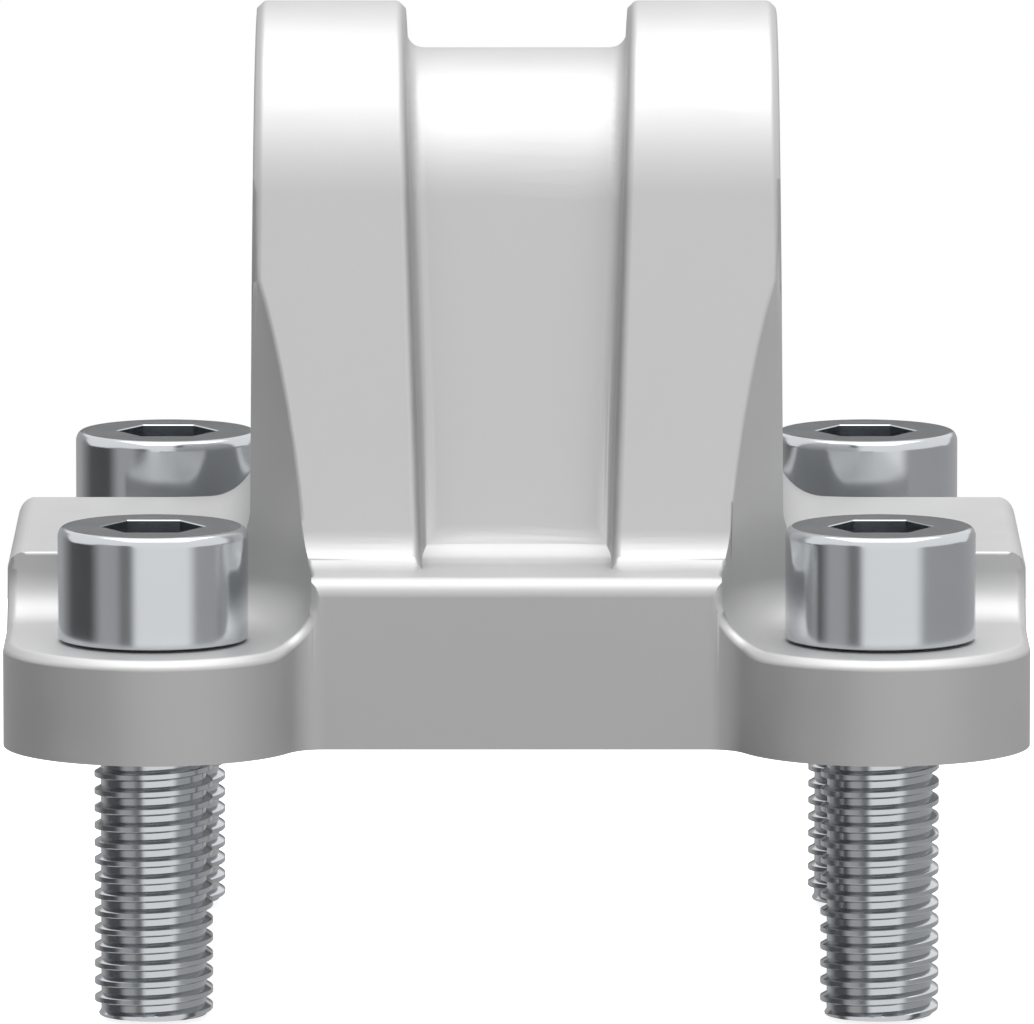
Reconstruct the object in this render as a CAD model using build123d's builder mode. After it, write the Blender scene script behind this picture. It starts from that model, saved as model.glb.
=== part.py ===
"""Rear clevis mount for a pneumatic cylinder of 40 mm bore, in millimetres.

One die casting, a four-lobed flange with an upright tongue, and the four socket
head cap screws that fasten it to the cylinder. The origin is the middle of the
mounting face, +Z points up the tongue and +X along the pivot bore.
"""

import os
from math import cos, radians, sin, sqrt, tan

from build123d import *

# Where it bolts on: the square hole pattern and the spigot on the cylinder's end cap
screw_spacing = 38.0
spigot_diameter = 35.0
spigot_clearance = 0.05
recess_depth = 4.5
recess_chamfer = 0.5

# Flange: a round lobe under each screw, and thicker bars and pads between the lobes
flange_height = 9.0
bar_reach = 2.0
seat_height = 5.5
lobe_radius = 7.85
lobe_fillet = 2.0
lobe_edge_chamfer = 0.4
bar_edge_radius = 1.0

# Pockets that let the screw heads down to their seats
pocket_radius = 8.3
pocket_fillet = 2.5

# Tongue: two ears with a narrower waist between them, on flanks that lean together
pivot_height = 25.0
pivot_diameter = 12.0
pivot_chamfer = 0.5
tongue_width = 27.8
side_draft = 0.5
flank_lean = 15.0
ear_radius = 12.0
ear_edge_chamfer = 0.4
base_fillet = 2.5
waist_width = 11.0
waist_depth = 2.5
waist_draft = 2.0
waist_corner_fillet = 0.9

# Cap screw, M6 x 20, in a clearance hole
thread_diameter = 6.0
screw_length = 20.0
shank_diameter = 5.35
shank_length = 5.5
tip_chamfer = 0.6
head_diameter = 9.9
head_height = 6.0
head_edge_chamfer = 0.4
socket_width = 5.0
socket_depth = 3.0
screw_hole_clearance = 0.6

# How far a cut runs past the metal, how deep the tongue reaches into the flange before
# the two are one, how far round the lobe's fillet the bar's rounding runs out, how far a
# side may face away from sideways, and how near to a size counts as that size
overrun = 2.0
tongue_embed = 3.0
run_out_angle = 45.0
side_angle = 25.0
close = 0.001

screw_reach = screw_spacing / 2
flange_width = screw_spacing + 2 * lobe_radius
flange_depth = screw_spacing + 2 * bar_reach
pocket_inner = screw_reach - pocket_radius
floor_fillet = min(pocket_fillet, flange_height - seat_height - lobe_edge_chamfer)
tongue_foot = flange_height - tongue_embed
tongue_top = pivot_height + ear_radius
waist_radius = ear_radius - waist_depth
thread_lead = (thread_diameter - shank_diameter) / 2
side_foot = tongue_width / 2 + (pivot_height - flange_height) * tan(radians(side_draft))


def base_fillet_ends(root, lean):
    """Top and end of the base fillet under a face that leans inward from its root's reach."""
    run = base_fillet * tan((radians(90) - lean) / 2)
    fillet_top = (root - run * sin(lean), flange_height + run * cos(lean))
    fillet_end = (root + run, flange_height)
    return fillet_top, fillet_end


def flank_points(radius):
    """Side view of a flank: where it meets its round top, its base fillet's ends, and its foot."""
    lean = radians(flank_lean)
    tangent = (radius * cos(lean), pivot_height + radius * sin(lean))
    root = tangent[0] + (tangent[1] - flange_height) * tan(lean)
    fillet_top, fillet_end = base_fillet_ends(root, lean)
    foot = (tangent[0] + (tangent[1] - tongue_foot) * tan(lean), tongue_foot)
    return tangent, fillet_top, fillet_end, foot


def on_side(side, *points):
    """Points of a view of the tongue, as given (1) or mirrored to its other side (-1)."""
    return [(side * reach, z) for reach, z in points]


def draw_base_fillet(side, fillet_top, fillet_end):
    """The arc that runs a flank or a side of the tongue out onto the flange."""
    TangentArc(on_side(side, fillet_end, fillet_top), tangent=(-side, 0))


def draw_ear_side():
    """Side view of the ears: round top, flanks, base fillets and a short ledge on the flange."""
    tangent, fillet_top, fillet_end, _ = flank_points(ear_radius)
    ledge = ((fillet_end[0] + flange_depth / 2) / 2, flange_height)
    ledge_foot = (ledge[0], tongue_foot)
    CenterArc((0, pivot_height), ear_radius, flank_lean, 180 - 2 * flank_lean)
    for side in (1, -1):
        Polyline(on_side(side, tangent, fillet_top))
        draw_base_fillet(side, fillet_top, fillet_end)
        Polyline(on_side(side, fillet_end, ledge, ledge_foot))
    Polyline(on_side(1, ledge_foot) + on_side(-1, ledge_foot))


def draw_waist_side():
    """Side view of the waist: round top and flanks that run straight down to the foot."""
    tangent, _, _, foot = flank_points(waist_radius)
    CenterArc((0, pivot_height), waist_radius, flank_lean, 180 - 2 * flank_lean)
    for side in (1, -1):
        Polyline(on_side(side, tangent, foot))
    Polyline(on_side(1, foot) + on_side(-1, foot))


def draw_waist_foot(side):
    """Side view of the metal under the waist's base fillet."""
    tangent, fillet_top, fillet_end, _ = flank_points(waist_radius)
    inner_top = (tangent[0], fillet_top[1])
    inner_foot = (tangent[0], tongue_foot)
    outer_foot = (fillet_end[0], tongue_foot)
    draw_base_fillet(side, fillet_top, fillet_end)
    Polyline(on_side(side, fillet_top, inner_top, inner_foot, outer_foot, fillet_end))


def draw_side_foot(side):
    """Front view of the metal under the base fillet of the tongue's side."""
    fillet_top, fillet_end = base_fillet_ends(side_foot, radians(side_draft))
    inside_ear = (waist_width + tongue_width) / 4
    inner_top = (inside_ear, fillet_top[1])
    inner_foot = (inside_ear, tongue_foot)
    outer_foot = (fillet_end[0], tongue_foot)
    draw_base_fillet(side, fillet_top, fillet_end)
    Polyline(on_side(side, fillet_top, inner_top, inner_foot, outer_foot, fillet_end))


def draw_front_band(width, draft):
    """Front view of a slab that is as wide as given at the pivot and widens downward."""
    spread = tan(radians(draft))
    low = tongue_foot
    high = tongue_top + overrun
    foot = width / 2 + (pivot_height - low) * spread
    top = width / 2 + (pivot_height - high) * spread
    Polygon((-foot, low), (foot, low), (top, high), (-top, high), align=None)


def draw_edge_waste(reach):
    """Section of what rounding takes off the top edge of a wall that far from the middle."""
    start = (reach - bar_edge_radius, flange_height)
    end = (reach, flange_height - bar_edge_radius)
    outside = reach + bar_edge_radius / 2
    above = flange_height + bar_edge_radius / 2
    TangentArc(start, end, tangent=(1, 0))
    Polyline(end, (outside, end[1]), (outside, above), (start[0], above), start)


def draw_flange():
    """Plan of the flange: a cross of bars and pads with a round lobe at each screw."""
    Rectangle(flange_width, screw_spacing)
    Rectangle(screw_spacing, flange_depth)
    with GridLocations(screw_spacing, screw_spacing, 2, 2):
        Circle(lobe_radius)
    bar_ends = vertices().filter_by(lambda point: abs(abs(point.Y) - flange_depth / 2) < close)
    fillet(bar_ends, radius=lobe_fillet)


def level(height):
    """Selector of the edges that lie flat at a height."""
    return lambda edge: all(abs((edge @ at).Z - height) < close for at in (0, 0.5, 1))


def upright(edge):
    """Whether an edge is a straight vertical line."""
    return edge.geom_type == GeomType.LINE and abs(edge.tangent_at(0.5).Z) > 1 - close


def is_wall(face):
    """Whether a face stands upright."""
    return abs(face.normal_at().Z) < close


def is_outer_wall(face):
    """Whether a face is part of the flange's outside wall."""
    if face.geom_type == GeomType.CYLINDER and is_wall(face):
        return min(abs(face.radius - lobe_radius), abs(face.radius - lobe_fillet)) < close
    at_side = abs(abs(face.center().X) - flange_width / 2) < close
    at_front = abs(abs(face.center().Y) - flange_depth / 2) < close
    return face.geom_type == GeomType.PLANE and (at_side or at_front)


# Tongue: two rounded ears, with a narrower waist that fills the channel between them
with BuildPart() as tongue:
    with BuildSketch(Plane.YZ):
        with BuildLine():
            draw_ear_side()
        make_face()
    extrude(amount=tongue_width, both=True)
    with BuildSketch(Plane.XZ):
        draw_front_band(tongue_width, side_draft)
    extrude(amount=flange_depth, both=True, mode=Mode.INTERSECT)
    with BuildSketch(Plane.XZ):
        draw_front_band(waist_width, -waist_draft)
    extrude(amount=flange_depth, both=True, mode=Mode.SUBTRACT)
    ear_sides = faces().filter_by(
        lambda face: abs(face.normal_at().X) > cos(radians(side_angle))
    )
    ear_edges = ear_sides.edges().filter_by(
        lambda edge: not upright(edge) and not level(tongue_foot)(edge)
    )
    chamfer(ear_edges, length=ear_edge_chamfer)
    with BuildSketch(Plane.YZ):
        with BuildLine():
            draw_waist_side()
        make_face()
    extrude(amount=tongue_width / 2 - overrun, both=True)
    waist_corners = edges(Select.NEW).filter_by(
        lambda edge: not upright(edge) and not level(tongue_foot)(edge)
    )
    fillet(waist_corners, radius=waist_corner_fillet)

# Feet that round the tongue's sides out onto the pads, as far along as the flanks reach
with BuildPart() as side_feet:
    for side in (1, -1):
        with BuildSketch(Plane.XZ):
            with BuildLine():
                draw_side_foot(side)
            make_face()
        extrude(amount=flange_depth / 2, both=True)
    with BuildSketch(Plane.YZ):
        with BuildLine():
            draw_ear_side()
        make_face()
    extrude(amount=flange_width / 2, both=True, mode=Mode.INTERSECT)

# Waste that leaves the top edges of the bars and pads rounded further than the lobes'
with BuildPart() as edge_waste:
    fillet_centre = flange_depth / 2 + lobe_fillet
    bar_end = screw_reach - sqrt(
        (lobe_radius + lobe_fillet) ** 2 - (fillet_centre - screw_reach) ** 2
    )
    with BuildLine() as bar_edge:
        bar = Line((0, flange_depth / 2, flange_height), (bar_end, flange_depth / 2, flange_height))
        JernArc(bar @ 1, bar % 1, lobe_fillet, run_out_angle)
    with BuildSketch(Plane.YZ):
        with BuildLine():
            draw_edge_waste(flange_depth / 2)
        make_face()
    sweep(path=bar_edge.wire())
    with BuildSketch(Plane.XZ):
        with BuildLine():
            draw_edge_waste(flange_width / 2)
        make_face()
    extrude(amount=screw_reach, both=True)
    mirror(about=Plane.YZ)
    mirror(about=Plane.XZ)

# Waste of the four pockets: each is open outward, round about its screw on the inside and
# rounded into its floor
with BuildPart() as pocket_waste:
    with BuildSketch(Plane.XY.offset(seat_height)):
        with GridLocations(2 * flange_width, 2 * flange_width, 2, 2):
            Rectangle(2 * (flange_width - pocket_inner), 2 * (flange_width - pocket_inner))
        inner_corners = vertices().group_by(lambda point: round(abs(point.X) + abs(point.Y)))[0]
        fillet(inner_corners, radius=pocket_radius)
    extrude(amount=tongue_top)
    fillet(edges().filter_by(level(seat_height)), radius=floor_fillet)

# Casting: the flange with the tongue on it, then its pockets, rounding and holes
with BuildPart() as clevis_casting:
    add(tongue.part)
    add(side_feet.part)
    for side in (1, -1):
        with BuildSketch(Plane.YZ):
            with BuildLine():
                draw_waist_foot(side)
            make_face()
        extrude(amount=waist_width / 2 + ear_edge_chamfer, both=True)
    with BuildSketch():
        draw_flange()
    extrude(amount=flange_height)

    # The pockets, and the edges of the lobes and pocket mouths
    add(pocket_waste.part, mode=Mode.SUBTRACT)
    outer_edges = faces().filter_by(is_outer_wall).edges()
    rim = [
        edge
        for edge in outer_edges
        if outer_edges.count(edge) == 1 and not level(0)(edge) and not level(flange_height)(edge)
    ]
    chamfer(rim, length=lobe_edge_chamfer)
    add(edge_waste.part, mode=Mode.SUBTRACT)

    # Through holes for the screws and the pivot pin, and the recess that takes the spigot
    with GridLocations(screw_spacing, screw_spacing, 2, 2):
        Hole(radius=(thread_diameter + screw_hole_clearance) / 2)
    with BuildSketch(Plane.YZ):
        with Locations((0, pivot_height)):
            Circle(pivot_diameter / 2)
    extrude(amount=tongue_width, both=True, mode=Mode.SUBTRACT)
    chamfer(edges(Select.NEW), length=pivot_chamfer)
    with BuildSketch():
        Circle((spigot_diameter + spigot_clearance) / 2)
    extrude(amount=recess_depth, mode=Mode.SUBTRACT)
    recess_rim = edges().filter_by(level(0)).filter_by(GeomType.CIRCLE).sort_by(SortBy.RADIUS)[-1]
    chamfer(recess_rim, length=recess_chamfer)

# Cap screw: a shank as thick as the thread's flanks, the thread, and a head with a pressed
# hexagon socket
with BuildPart() as cap_screw:
    with BuildSketch(Plane.XZ):
        with BuildLine():
            Polyline(
                (0, head_height),
                (0, -screw_length),
                (thread_diameter / 2 - tip_chamfer, -screw_length),
                (thread_diameter / 2, tip_chamfer - screw_length),
                (thread_diameter / 2, -shank_length - thread_lead),
                (shank_diameter / 2, -shank_length),
                (shank_diameter / 2, 0),
                (head_diameter / 2, 0),
                (head_diameter / 2, head_height),
                close=True,
            )
        make_face()
        top_corner = vertices().sort_by(lambda point: point.X + point.Y)[-1]
        chamfer(top_corner, length=head_edge_chamfer)
    revolve(axis=Axis.Z)
    with BuildSketch(Plane.XY.offset(head_height)):
        RegularPolygon(radius=socket_width / 2, side_count=6, major_radius=False)
    extrude(amount=-socket_depth, mode=Mode.SUBTRACT)

os.makedirs("parts", exist_ok=True)
clevis_casting.part.label = "clevis_casting"
export_step(clevis_casting.part, "parts/clevis_casting.step")
for row, y in (("front", -screw_reach), ("rear", screw_reach)):
    for side, x in (("left", -screw_reach), ("right", screw_reach)):
        screw = cap_screw.part.moved(Location((x, y, seat_height)))
        screw.label = f"cap_screw_{row}_{side}"
        export_step(screw, f"parts/{screw.label}.step")
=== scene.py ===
"""Rear clevis mount for a pneumatic cylinder, with its four cap screws, on a pale floor.

Everything is in metres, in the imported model's own frame: the origin is the middle of the
mounting face, +Z points up the tongue and +X along the pivot bore.
"""

from math import cos, pi, radians, sin, sqrt, tau

import bmesh
import bpy
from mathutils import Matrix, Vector


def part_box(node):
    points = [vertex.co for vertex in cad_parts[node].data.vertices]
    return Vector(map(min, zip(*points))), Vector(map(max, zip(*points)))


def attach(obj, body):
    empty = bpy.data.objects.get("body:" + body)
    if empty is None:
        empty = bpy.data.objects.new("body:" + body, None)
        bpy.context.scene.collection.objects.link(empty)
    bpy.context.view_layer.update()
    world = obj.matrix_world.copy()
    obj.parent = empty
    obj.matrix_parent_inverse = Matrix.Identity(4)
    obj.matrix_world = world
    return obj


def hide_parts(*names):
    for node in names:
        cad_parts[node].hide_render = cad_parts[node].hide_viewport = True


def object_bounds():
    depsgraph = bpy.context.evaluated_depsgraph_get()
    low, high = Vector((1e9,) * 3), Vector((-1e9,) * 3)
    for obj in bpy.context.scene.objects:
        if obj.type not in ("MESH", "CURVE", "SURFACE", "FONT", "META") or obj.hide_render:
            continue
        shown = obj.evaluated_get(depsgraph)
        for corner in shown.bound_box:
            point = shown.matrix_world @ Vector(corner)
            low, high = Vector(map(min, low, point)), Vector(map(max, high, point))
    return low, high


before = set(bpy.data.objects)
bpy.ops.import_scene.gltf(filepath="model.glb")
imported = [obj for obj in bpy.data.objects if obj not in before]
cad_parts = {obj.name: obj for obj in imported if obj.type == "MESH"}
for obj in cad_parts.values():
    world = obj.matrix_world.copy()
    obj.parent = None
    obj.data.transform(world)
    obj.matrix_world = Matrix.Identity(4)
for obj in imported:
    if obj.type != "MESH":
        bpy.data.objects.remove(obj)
cad_box = [list(corner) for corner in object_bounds()]


# Clevis casting
# One pressure die casting in aluminium, a lobed flange with a wide tongue, blasted to a
# satin grey. The pivot bore, the underside and the recess are machined afterwards.
scene = bpy.context.scene
mm = 0.001
pivot_height = 25 * mm
bore_reach = 6.8 * mm
recess_reach = 18.2 * mm
recess_ceiling = 4.6 * mm
underside_band = 0.01 * mm
weld_distance = 0.001 * mm
flat_angle = 0.3
longest_edge = 2 * mm
edge_cuts = 3
edge_angle = 28
edge_round = 0.28 * mm
edge_segments = 3
crease_angle = 50
# An outward edge stays sharp this near to a fork of such edges, or to an inward edge
fork_reach = 0.55 * mm
inner_reach = 0.8 * mm
# It does so near these spots of each quarter too, which are too tight to round: x, y, z and
# reach, all in mm
tight_spots = ((11.1, 16.3, 10.4, 1.3), (14.06, 12.33, 11.0, 0.7), (10.25, 21.0, 7.6, 0.9))
cast_grey = (0.59, 0.59, 0.59, 1)
cut_grey = (0.74, 0.74, 0.75, 1)


def new_material(name):
    """A material with a Principled shader, and the shader's node."""
    material = bpy.data.materials.new(name)
    material.use_nodes = True
    return material, material.node_tree.nodes["Principled BSDF"]


def add_node(tree, kind, **inputs):
    """A node in a tree, with values for its input sockets."""
    node = tree.nodes.new(kind)
    for socket, value in inputs.items():
        node.inputs[socket.replace("_", " ")].default_value = value
    return node


def add_math(tree, operation):
    """A Math node in a tree, with its operation."""
    node = tree.nodes.new("ShaderNodeMath")
    node.operation = operation
    return node


def make_skin_group():
    """Node group for the skin of a metal: a colour, a roughness and a height that vary over it."""
    group = bpy.data.node_groups.new("metal_skin", "ShaderNodeTree")
    for name, kind in (
        ("Color", "NodeSocketColor"),
        ("Mottle", "NodeSocketFloat"),
        ("Roughness", "NodeSocketFloat"),
        ("Roughness Spread", "NodeSocketFloat"),
        ("Grain Scale", "NodeSocketFloat"),
        ("Mottle Scale", "NodeSocketFloat"),
    ):
        group.interface.new_socket(name, in_out="INPUT", socket_type=kind)
    for name, kind in (
        ("Color", "NodeSocketColor"),
        ("Roughness", "NodeSocketFloat"),
        ("Height", "NodeSocketFloat"),
    ):
        group.interface.new_socket(name, in_out="OUTPUT", socket_type=kind)
    given = group.nodes.new("NodeGroupInput")
    result = group.nodes.new("NodeGroupOutput")
    place = group.nodes.new("ShaderNodeTexCoord")
    grain = add_node(group, "ShaderNodeTexNoise", Detail=4.0, Roughness=0.6)
    mottle = add_node(group, "ShaderNodeTexNoise", Detail=3.0, Roughness=0.5)
    mottle_middle = 0.5
    centred = add_math(group, "SUBTRACT")
    centred.inputs[1].default_value = mottle_middle
    tint = add_math(group, "MULTIPLY_ADD")
    tint.inputs[2].default_value = 1.0
    paint = group.nodes.new("ShaderNodeVectorMath")
    paint.operation = "SCALE"
    rough = add_math(group, "MULTIPLY_ADD")
    link = group.links.new
    link(place.outputs["Object"], grain.inputs["Vector"])
    link(place.outputs["Object"], mottle.inputs["Vector"])
    link(given.outputs["Grain Scale"], grain.inputs["Scale"])
    link(given.outputs["Mottle Scale"], mottle.inputs["Scale"])
    link(mottle.outputs["Fac"], centred.inputs[0])
    link(centred.outputs[0], tint.inputs[0])
    link(given.outputs["Mottle"], tint.inputs[1])
    link(given.outputs["Color"], paint.inputs[0])
    link(tint.outputs[0], paint.inputs["Scale"])
    link(centred.outputs[0], rough.inputs[0])
    link(given.outputs["Roughness Spread"], rough.inputs[1])
    link(given.outputs["Roughness"], rough.inputs[2])
    link(paint.outputs[0], result.inputs["Color"])
    link(rough.outputs[0], result.inputs["Roughness"])
    link(grain.outputs["Fac"], result.inputs["Height"])
    return group


metal_skin = make_skin_group()


def make_metal(name, color, roughness, spread, mottle, mottle_scale, grain_scale, bump, depth):
    """A bare metal finished by the metal_skin group, with its grain raised by a bump."""
    material, shader = new_material(name)
    tree = material.node_tree
    skin = tree.nodes.new("ShaderNodeGroup")
    skin.node_tree = metal_skin
    skin.inputs["Color"].default_value = color
    skin.inputs["Mottle"].default_value = mottle
    skin.inputs["Roughness"].default_value = roughness
    skin.inputs["Roughness Spread"].default_value = spread
    skin.inputs["Grain Scale"].default_value = grain_scale
    skin.inputs["Mottle Scale"].default_value = mottle_scale
    raised = add_node(tree, "ShaderNodeBump", Strength=bump, Distance=depth)
    shader.inputs["Metallic"].default_value = 1.0
    tree.links.new(skin.outputs["Color"], shader.inputs["Base Color"])
    tree.links.new(skin.outputs["Roughness"], shader.inputs["Roughness"])
    tree.links.new(skin.outputs["Height"], raised.inputs["Height"])
    tree.links.new(raised.outputs["Normal"], shader.inputs["Normal"])
    return material


cast_skin = make_metal(
    "cast_aluminium_skin",
    cast_grey,
    roughness=0.54,
    spread=0.10,
    mottle=0.06,
    mottle_scale=240,
    grain_scale=5200,
    bump=0.12,
    depth=0.02 * mm,
)
cut_skin = make_metal(
    "machined_aluminium",
    cut_grey,
    roughness=0.24,
    spread=0.10,
    mottle=0.05,
    mottle_scale=300,
    grain_scale=1500,
    bump=0.05,
    depth=0.01 * mm,
)


def is_machined(face):
    """Whether a face of the casting was cut after casting: bore, underside or recess."""
    middle = face.calc_center_median()
    from_bore = sqrt(middle.y**2 + (middle.z - pivot_height) ** 2)
    from_axis = sqrt(middle.x**2 + middle.y**2)
    in_recess = from_axis < recess_reach and middle.z < recess_ceiling
    return from_bore < bore_reach or in_recess or middle.z < underside_band


def let_flats_lead(piece):
    """Shade a piece so that its large faces stay flat up to the rounding beside them."""
    even = piece.modifiers.new("flat_faces_lead", "WEIGHTED_NORMAL")
    even.keep_sharp = True


def outward_edges(skin):
    """Cut long edges short, and give the cast ones that turn outward and have room to round."""
    long_edges = [edge for edge in skin.edges if edge.calc_length() > longest_edge]
    bmesh.ops.bisect_edges(skin, edges=long_edges, cuts=edge_cuts)
    outward = set()
    stops = {}
    for edge in skin.edges:
        cast = not any(face.material_index for face in edge.link_faces)
        if cast and edge.calc_face_angle() > radians(edge_angle):
            if edge.is_convex:
                outward.add(edge)
            else:
                stops.update((vert, inner_reach) for vert in edge.verts)
    for vert in skin.verts:
        if len(outward.intersection(vert.link_edges)) > 2:
            stops.setdefault(vert, fork_reach)
    places = [(vert.co.copy(), reach) for vert, reach in stops.items()]
    for x, y, z, reach in tight_spots:
        for side in (-1, 1):
            places.append((Vector((side * x, -y, z)) * mm, reach * mm))
            places.append((Vector((side * x, y, z)) * mm, reach * mm))
    chosen = []
    for edge in outward:
        middle = (edge.verts[0].co + edge.verts[1].co) / 2
        if all((middle - place).length > reach for place, reach in places):
            chosen.append(edge)
    return chosen


def make_casting():
    """The casting as one closed skin, made from its CAD solid, with machined faces marked."""
    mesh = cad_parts["clevis_casting"].data.copy()
    skin = bmesh.new()
    skin.from_mesh(mesh)
    bmesh.ops.remove_doubles(skin, verts=skin.verts, dist=weld_distance)
    bmesh.ops.dissolve_limit(
        skin, angle_limit=radians(flat_angle), verts=skin.verts, edges=skin.edges
    )
    for face in skin.faces:
        face.material_index = 1 if is_machined(face) else 0
    bmesh.ops.bevel(
        skin,
        geom=outward_edges(skin),
        affect="EDGES",
        offset_type="WIDTH",
        offset=edge_round,
        segments=edge_segments,
        profile=0.5,
        clamp_overlap=False,
    )
    for face in skin.faces:
        face.smooth = True
        face.material_index = 1 if is_machined(face) else 0
    for edge in skin.edges:
        edge.smooth = edge.calc_face_angle() < radians(crease_angle)
    skin.to_mesh(mesh)
    skin.free()
    if "custom_normal" in mesh.attributes:
        mesh.attributes.remove(mesh.attributes["custom_normal"])
    mesh.materials.clear()
    mesh.materials.append(cast_skin)
    mesh.materials.append(cut_skin)
    mesh.name = "casting"
    casting = bpy.data.objects.new("casting", mesh)
    scene.collection.objects.link(casting)
    let_flats_lead(casting)
    return casting


casting = make_casting()
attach(casting, "root")
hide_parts("clevis_casting")


# Cap screws
# Four M6 x 20 hexagon socket head cap screws in bright zinc-plated steel, cold headed, with
# a rolled thread. Each stands loose in its hole, its head on the seat in the pocket.
head_radius = 4.98 * mm
head_height = 6.0 * mm
head_edge = 0.38 * mm
head_edge_height = 0.55 * mm
head_edge_steps = 8
top_face_margin = 0.06 * mm
foot_edge = 0.10 * mm
foot_edge_steps = 3
collar_radius = 3.4 * mm
collar_height = 0.14 * mm
socket_reach = 2.37 * mm
socket_rim = 0.05 * mm
socket_depth = 3.0 * mm
cone_reach = 0.96 * socket_reach
cone_depth = 0.9 * mm
shank_radius = 2.76 * mm
thread_radius = 3.1 * mm
thread_pitch = 0.913 * mm
crest_width = 0.30 * mm
crest_round = 0.03 * mm
lower_flank = 0.12 * mm
upper_flank = 0.18 * mm
thread_start = 4.6 * mm
screw_length = 19.75 * mm
tip_chamfer = 0.3 * mm
around = 96
screw_crease_angle = 25
steel_grey = (0.62, 0.645, 0.67, 1)


def circle_ring(mesh, radius, z):
    """A ring of points on a circle about the screw's axis."""
    turns = [tau * step / around for step in range(around)]
    return [mesh.verts.new((radius * cos(turn), radius * sin(turn), z)) for turn in turns]


def hexagon_ring(mesh, reach, z):
    """A ring of points on a hexagon whose flats are that far from the axis."""
    ring = []
    for step in range(around):
        turn = tau * step / around
        off_flat = (turn % (pi / 3)) - pi / 6
        radius = reach / cos(off_flat)
        ring.append(mesh.verts.new((radius * cos(turn), radius * sin(turn), z)))
    return ring


def join_rings(mesh, lower, upper):
    """Faces between two rings of points, from the lower one to the upper one."""
    for step in range(around):
        after = (step + 1) % around
        mesh.faces.new((lower[step], lower[after], upper[after], upper[step]))


def add_head(mesh):
    """The head, from the shank's top outward, up its side and down into the socket."""
    floor = head_height - socket_depth
    rings = [circle_ring(mesh, shank_radius, 0)]
    rings.append(circle_ring(mesh, collar_radius, 0))
    rings.append(circle_ring(mesh, collar_radius, collar_height))
    for step in range(foot_edge_steps + 1):
        turn = pi / 2 * step / foot_edge_steps
        radius = head_radius - foot_edge * (1 - sin(turn))
        rings.append(circle_ring(mesh, radius, collar_height + foot_edge * (1 - cos(turn))))
    for step in range(head_edge_steps + 1):
        turn = pi / 2 * step / head_edge_steps
        radius = head_radius - head_edge * (1 - cos(turn))
        rings.append(circle_ring(mesh, radius, head_height - head_edge_height * (1 - sin(turn))))
    rings.append(circle_ring(mesh, head_radius - head_edge - top_face_margin, head_height))
    rings.append(hexagon_ring(mesh, socket_reach + socket_rim, head_height))
    rings.append(hexagon_ring(mesh, socket_reach, head_height - socket_rim))
    rings.append(hexagon_ring(mesh, socket_reach, floor))
    rings.append(circle_ring(mesh, cone_reach, floor))
    for lower, upper in zip(rings, rings[1:]):
        join_rings(mesh, lower, upper)
    point = mesh.verts.new((0, 0, floor - cone_depth))
    last = rings[-1]
    for step in range(around):
        mesh.faces.new((last[step], last[(step + 1) % around], point))
    return rings[0]


def thread_profile():
    """One turn of the thread's section as (radius, drop) pairs: crest, flank, root."""
    return [
        (thread_radius - crest_round, 0),
        (thread_radius, crest_round),
        (thread_radius, crest_width - crest_round),
        (thread_radius - crest_round, crest_width),
        (shank_radius, crest_width + lower_flank),
        (shank_radius, thread_pitch - upper_flank),
    ]


def add_shank(mesh, top_ring):
    """The plain shank under the head and the thread below it, down to the chamfered tip."""
    section = thread_profile()
    turns = int((screw_length - thread_start) / thread_pitch) + 2
    steps = turns * around
    rows = []
    for step in range(steps + around + 1):
        turn = tau * step / around
        row = []
        for radius, drop in section:
            z = -thread_start - thread_pitch * step / around - drop
            tip_radius = thread_radius - tip_chamfer + max(0, z + screw_length)
            reach = min(radius, tip_radius)
            row.append(mesh.verts.new((reach * cos(turn), -reach * sin(turn), z)))
        rows.append(row)
    for step in range(steps):
        here = rows[step] + [rows[step + around][0]]
        there = rows[step + 1] + [rows[step + around + 1][0]]
        for place in range(len(section)):
            mesh.faces.new((here[place], here[place + 1], there[place + 1], there[place]))
    shank_end = circle_ring(mesh, shank_radius, -thread_start - thread_pitch)
    join_rings(mesh, shank_end, top_ring)


def make_screw_mesh():
    """A whole cap screw with the underside of its head at the origin."""
    mesh = bmesh.new()
    top_ring = add_head(mesh)
    add_shank(mesh, top_ring)
    everything = mesh.verts[:] + mesh.edges[:] + mesh.faces[:]
    cut = bmesh.ops.bisect_plane(
        mesh,
        geom=everything,
        plane_co=(0, 0, -screw_length),
        plane_no=(0, 0, -1),
        clear_outer=True,
    )
    rim = [item for item in cut["geom_cut"] if isinstance(item, bmesh.types.BMEdge)]
    bmesh.ops.contextual_create(mesh, geom=rim)
    bmesh.ops.recalc_face_normals(mesh, faces=mesh.faces)
    for face in mesh.faces:
        face.smooth = True
    data = bpy.data.meshes.new("cap_screw")
    mesh.to_mesh(data)
    mesh.free()
    data.set_sharp_from_angle(angle=radians(screw_crease_angle))
    return data


screw_steel = make_metal(
    "bright_steel",
    steel_grey,
    roughness=0.17,
    spread=0.05,
    mottle=0.03,
    mottle_scale=500,
    grain_scale=900,
    bump=0.02,
    depth=0.01 * mm,
)
screw_mesh = make_screw_mesh()
screw_mesh.materials.append(screw_steel)
for node_name in sorted(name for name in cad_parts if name.startswith("cap_screw")):
    low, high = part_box(node_name)
    screw = bpy.data.objects.new(node_name.replace("cap_screw", "screw"), screw_mesh.copy())
    scene.collection.objects.link(screw)
    let_flats_lead(screw)
    screw.location = ((low.x + high.x) / 2, (low.y + high.y) / 2, high.z - head_height)
    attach(screw, "root")
    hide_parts(node_name)


# Floor
# A small white table top under the screw tips. It shows white and keeps a faint shadow of
# the mount.
floor_reach = 0.14
floor_height = cad_box[0][2]
floor_gap = 0.02 * mm
floor_sides = 96
floor_white = (0.82, 0.82, 0.82, 1)
floor_lift = 0.72


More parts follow.
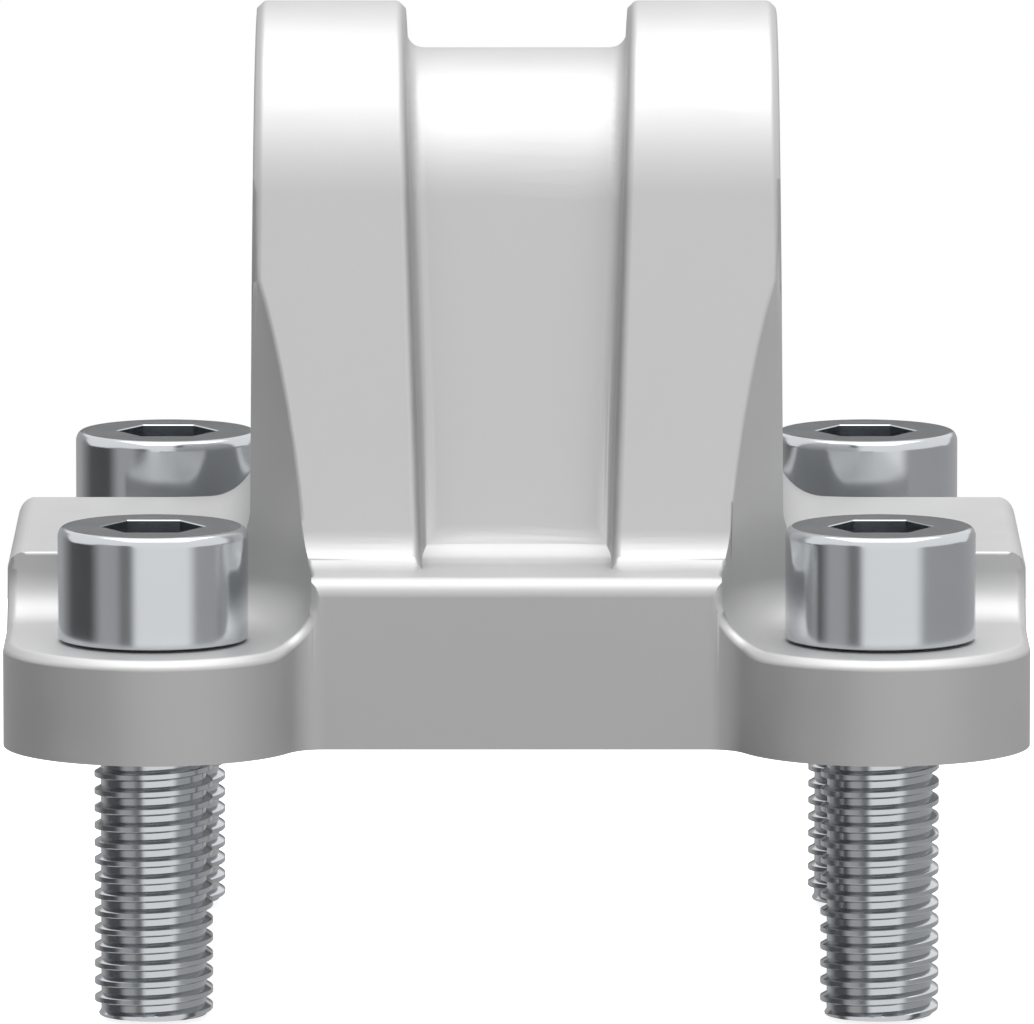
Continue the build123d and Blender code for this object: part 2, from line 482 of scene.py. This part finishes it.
def make_floor():
    """A round floor that fades into the white surround and still takes the shadow."""
    disc = bmesh.new()
    bmesh.ops.create_circle(disc, cap_ends=True, segments=floor_sides, radius=floor_reach)
    data = bpy.data.meshes.new("floor")
    disc.to_mesh(data)
    disc.free()
    floor = bpy.data.objects.new("floor", data)
    floor.location.z = floor_height - floor_gap
    floor.visible_glossy = False
    scene.collection.objects.link(floor)
    material, shader = new_material("white_floor")
    tree = material.node_tree
    shader.inputs["Base Color"].default_value = floor_white
    shader.inputs["Roughness"].default_value = 0.8
    shader.inputs["Specular IOR Level"].default_value = 0.2
    shader.inputs["Emission Color"].default_value = (1, 1, 1, 1)
    path = tree.nodes.new("ShaderNodeLightPath")
    seen = add_math(tree, "MAXIMUM")
    seen_through = add_math(tree, "MAXIMUM")
    lift = add_math(tree, "MULTIPLY")
    lift.inputs[1].default_value = floor_lift
    tree.links.new(path.outputs["Is Camera Ray"], seen.inputs[0])
    tree.links.new(path.outputs["Is Glossy Ray"], seen.inputs[1])
    tree.links.new(seen.outputs[0], seen_through.inputs[0])
    tree.links.new(path.outputs["Is Transmission Ray"], seen_through.inputs[1])
    tree.links.new(seen_through.outputs[0], lift.inputs[0])
    tree.links.new(lift.outputs[0], shader.inputs["Emission Strength"])
    data.materials.append(material)
    return floor


make_floor()


# Studio
# A white surround, a large soft light overhead and one ring of grey card round the set. The
# camera doesn't see the ring: it is what the steel mirrors as soft upright bands.
ring_distance = 1.5
ring_foot = -1.5
# Bearing in degrees, 0 being the camera's and 90 that of +X, then tone and top edge's height
ring_points = (
    (-172, 0.18, 0.375),
    (-168, 0.42, 0.45),
    (-140, 0.42, 0.70),
    (-112, 0.10, 0.0),
    (-79, 0.08, 0.12),
    (-64, 0.45, 0.42),
    (-44, 0.43, 0.42),
    (-36, 0.21, 0.50),
    (-27, 0.21, 0.50),
    (-20, 0.90, 0.0),
    (-19, 0.20, -0.38),
    (44, 0.20, -0.38),
    (45, 0.90, 0.0),
    (55, 0.41, 0.05),
    (110, 0.41, 0.05),
    (122, 0.42, -0.10),
    (140, 0.45, 0.35),
    (168, 0.47, 0.35),
    (172, 0.18, 0.375),
    (188, 0.18, 0.375),
)
# The ground is dark, but for a pale middle: each is a share of the ring's distance, and a tone
ground_circles = ((1, 0.12), (0.72, 0.12), (0.6, 0.9))
top_light_size = 0.8
top_light_power = 3.3
top_light_place = (0.05, 0, 0.7)


def at_bearing(bearing):
    """The ring's tone and the height of its top edge at a bearing, in degrees."""
    for (start, tone, top), (end, next_tone, next_top) in zip(ring_points, ring_points[1:]):
        if start <= bearing <= end:
            share = (bearing - start) / (end - start)
            return tone + share * (next_tone - tone), top + share * (next_top - top)


def make_ring():
    """A closed ring of card with a dark ground, each point glowing with its own tone."""
    sheet = bmesh.new()
    tones = sheet.verts.layers.float.new("tone")
    pairs = []
    for bearing in range(ring_points[0][0], ring_points[-1][0]):
        tone, top = at_bearing(bearing)
        x = ring_distance * sin(radians(bearing))
        y = -ring_distance * cos(radians(bearing))
        pair = (sheet.verts.new((x, y, ring_foot)), sheet.verts.new((x, y, top)))
        for vert in pair:
            vert[tones] = tone
        pairs.append(pair)
    for (foot, top), (next_foot, next_top) in zip(pairs, pairs[1:] + pairs[:1]):
        sheet.faces.new((foot, next_foot, next_top, top))
    circles = []
    for share, tone in ground_circles:
        circle = [
            sheet.verts.new((share * foot.co.x, share * foot.co.y, ring_foot))
            for foot, top in pairs
        ]
        for vert in circle:
            vert[tones] = tone
        circles.append(circle)
    for outer, inner in zip(circles, circles[1:]):
        for place in range(len(outer)):
            sheet.faces.new((outer[place - 1], outer[place], inner[place], inner[place - 1]))
    sheet.faces.new(circles[-1])
    data = bpy.data.meshes.new("card_ring")
    sheet.to_mesh(data)
    sheet.free()
    ring = bpy.data.objects.new("card_ring", data)
    scene.collection.objects.link(ring)
    ring.visible_camera = False
    ring.visible_diffuse = False
    ring.visible_shadow = False
    material = bpy.data.materials.new("grey_card")
    material.use_nodes = True
    tree = material.node_tree
    tree.nodes.clear()
    tone_at = tree.nodes.new("ShaderNodeAttribute")
    tone_at.attribute_name = "tone"
    glow = tree.nodes.new("ShaderNodeEmission")
    result = tree.nodes.new("ShaderNodeOutputMaterial")
    tree.links.new(tone_at.outputs["Fac"], glow.inputs["Strength"])
    tree.links.new(glow.outputs[0], result.inputs["Surface"])
    data.materials.append(material)
    return ring


make_ring()

world = bpy.data.worlds.new("white_surround")
scene.world = world
world.use_nodes = True
surround = world.node_tree.nodes["Background"]
surround.inputs["Color"].default_value = (1, 1, 1, 1)
surround.inputs["Strength"].default_value = 1.0

top_light_data = bpy.data.lights.new("top_light", "AREA")
top_light_data.shape = "SQUARE"
top_light_data.size = top_light_size
top_light_data.energy = top_light_power
top_light = bpy.data.objects.new("top_light", top_light_data)
top_light.location = top_light_place
scene.collection.objects.link(top_light)


# Camera
# It stands square in front of the mount and looks slightly down at it from far off, so that
# the rear screws look nearly as large as the front ones.
camera_height = 133.4 * mm
camera_distance = 899.2 * mm
camera_side = 0.018 * mm
camera_pitch = 7.837
sensor_width = 36
focal_length = 592.6
nearest_seen = 0.01
camera_data = bpy.data.cameras.new("camera")
camera_data.sensor_fit = "HORIZONTAL"
camera_data.sensor_width = sensor_width
camera_data.lens = focal_length
camera_data.clip_start = nearest_seen
camera = bpy.data.objects.new("camera", camera_data)
camera.location = (camera_side, -camera_distance, camera_height)
camera.rotation_euler = (radians(90 - camera_pitch), 0, 0)
scene.collection.objects.link(camera)
scene.camera = camera
scene.view_settings.view_transform = "Standard"

bpy.context.view_layer.update()
